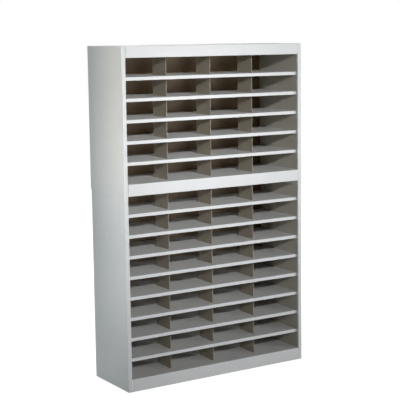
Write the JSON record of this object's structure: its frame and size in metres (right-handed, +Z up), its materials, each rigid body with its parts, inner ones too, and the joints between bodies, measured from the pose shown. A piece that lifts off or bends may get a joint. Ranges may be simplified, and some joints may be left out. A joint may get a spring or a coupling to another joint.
{
  "type": "pigeonhole mail sorter",
  "caption": "Free-standing sheet-steel pigeonhole sorter: an upper unit bolted on a lower one, with shelves and short dividers that part rows of open letter-size compartments.",
  "frame": {"origin": "middle of the footprint's bounding box, on the floor", "axes": "+Z up, -Y towards the open front, +X to the right of someone who faces the openings"},
  "size_m": [0.9524, 0.3254, 1.524],
  "materials": {
    "steel_case": "light grey powder coat, satin",
    "hardboard_back": "smooth hardboard, grey-brown",
    "zinc_fasteners": "bright zinc plate"
  },
  "bodies": {
    "root": {"lower_left_shell": "steel_case", "lower_left_liner": "steel_case", "lower_right_shell": "steel_case", "lower_right_liner": "steel_case", "lower_base_pan": "steel_case", "lower_shelf_1": "steel_case", "lower_shelf_2": "steel_case", "lower_shelf_3": "steel_case", "lower_shelf_4": "steel_case", "lower_shelf_5": "steel_case", "lower_shelf_6": "steel_case", "lower_shelf_7": "steel_case", "lower_shelf_8": "steel_case", "lower_dividers_1": "steel_case", "lower_dividers_2": "steel_case", "lower_dividers_3": "steel_case", "lower_dividers_4": "steel_case", "lower_dividers_5": "steel_case", "lower_dividers_6": "steel_case", "lower_dividers_7": "steel_case", "lower_dividers_8": "steel_case", "lower_dividers_9": "steel_case", "lower_back": "hardboard_back", "lower_back_screws": "zinc_fasteners", "lower_pan_screws": "zinc_fasteners", "upper_left_shell": "steel_case", "upper_left_liner": "steel_case", "upper_right_shell": "steel_case", "upper_right_liner": "steel_case", "upper_base_pan": "steel_case", "upper_shelf_1": "steel_case", "upper_shelf_2": "steel_case", "upper_shelf_3": "steel_case", "upper_shelf_4": "steel_case", "upper_shelf_5": "steel_case", "upper_dividers_1": "steel_case", "upper_dividers_2": "steel_case", "upper_dividers_3": "steel_case", "upper_dividers_4": "steel_case", "upper_dividers_5": "steel_case", "upper_dividers_6": "steel_case", "upper_back": "hardboard_back", "upper_back_screws": "zinc_fasteners", "upper_pan_screws": "zinc_fasteners", "lower_lid": "steel_case", "upper_cap": "steel_case", "upper_ceiling": "steel_case", "joining_bolts": "zinc_fasteners", "joining_nuts": "zinc_fasteners"}
  },
  "joints": []
}
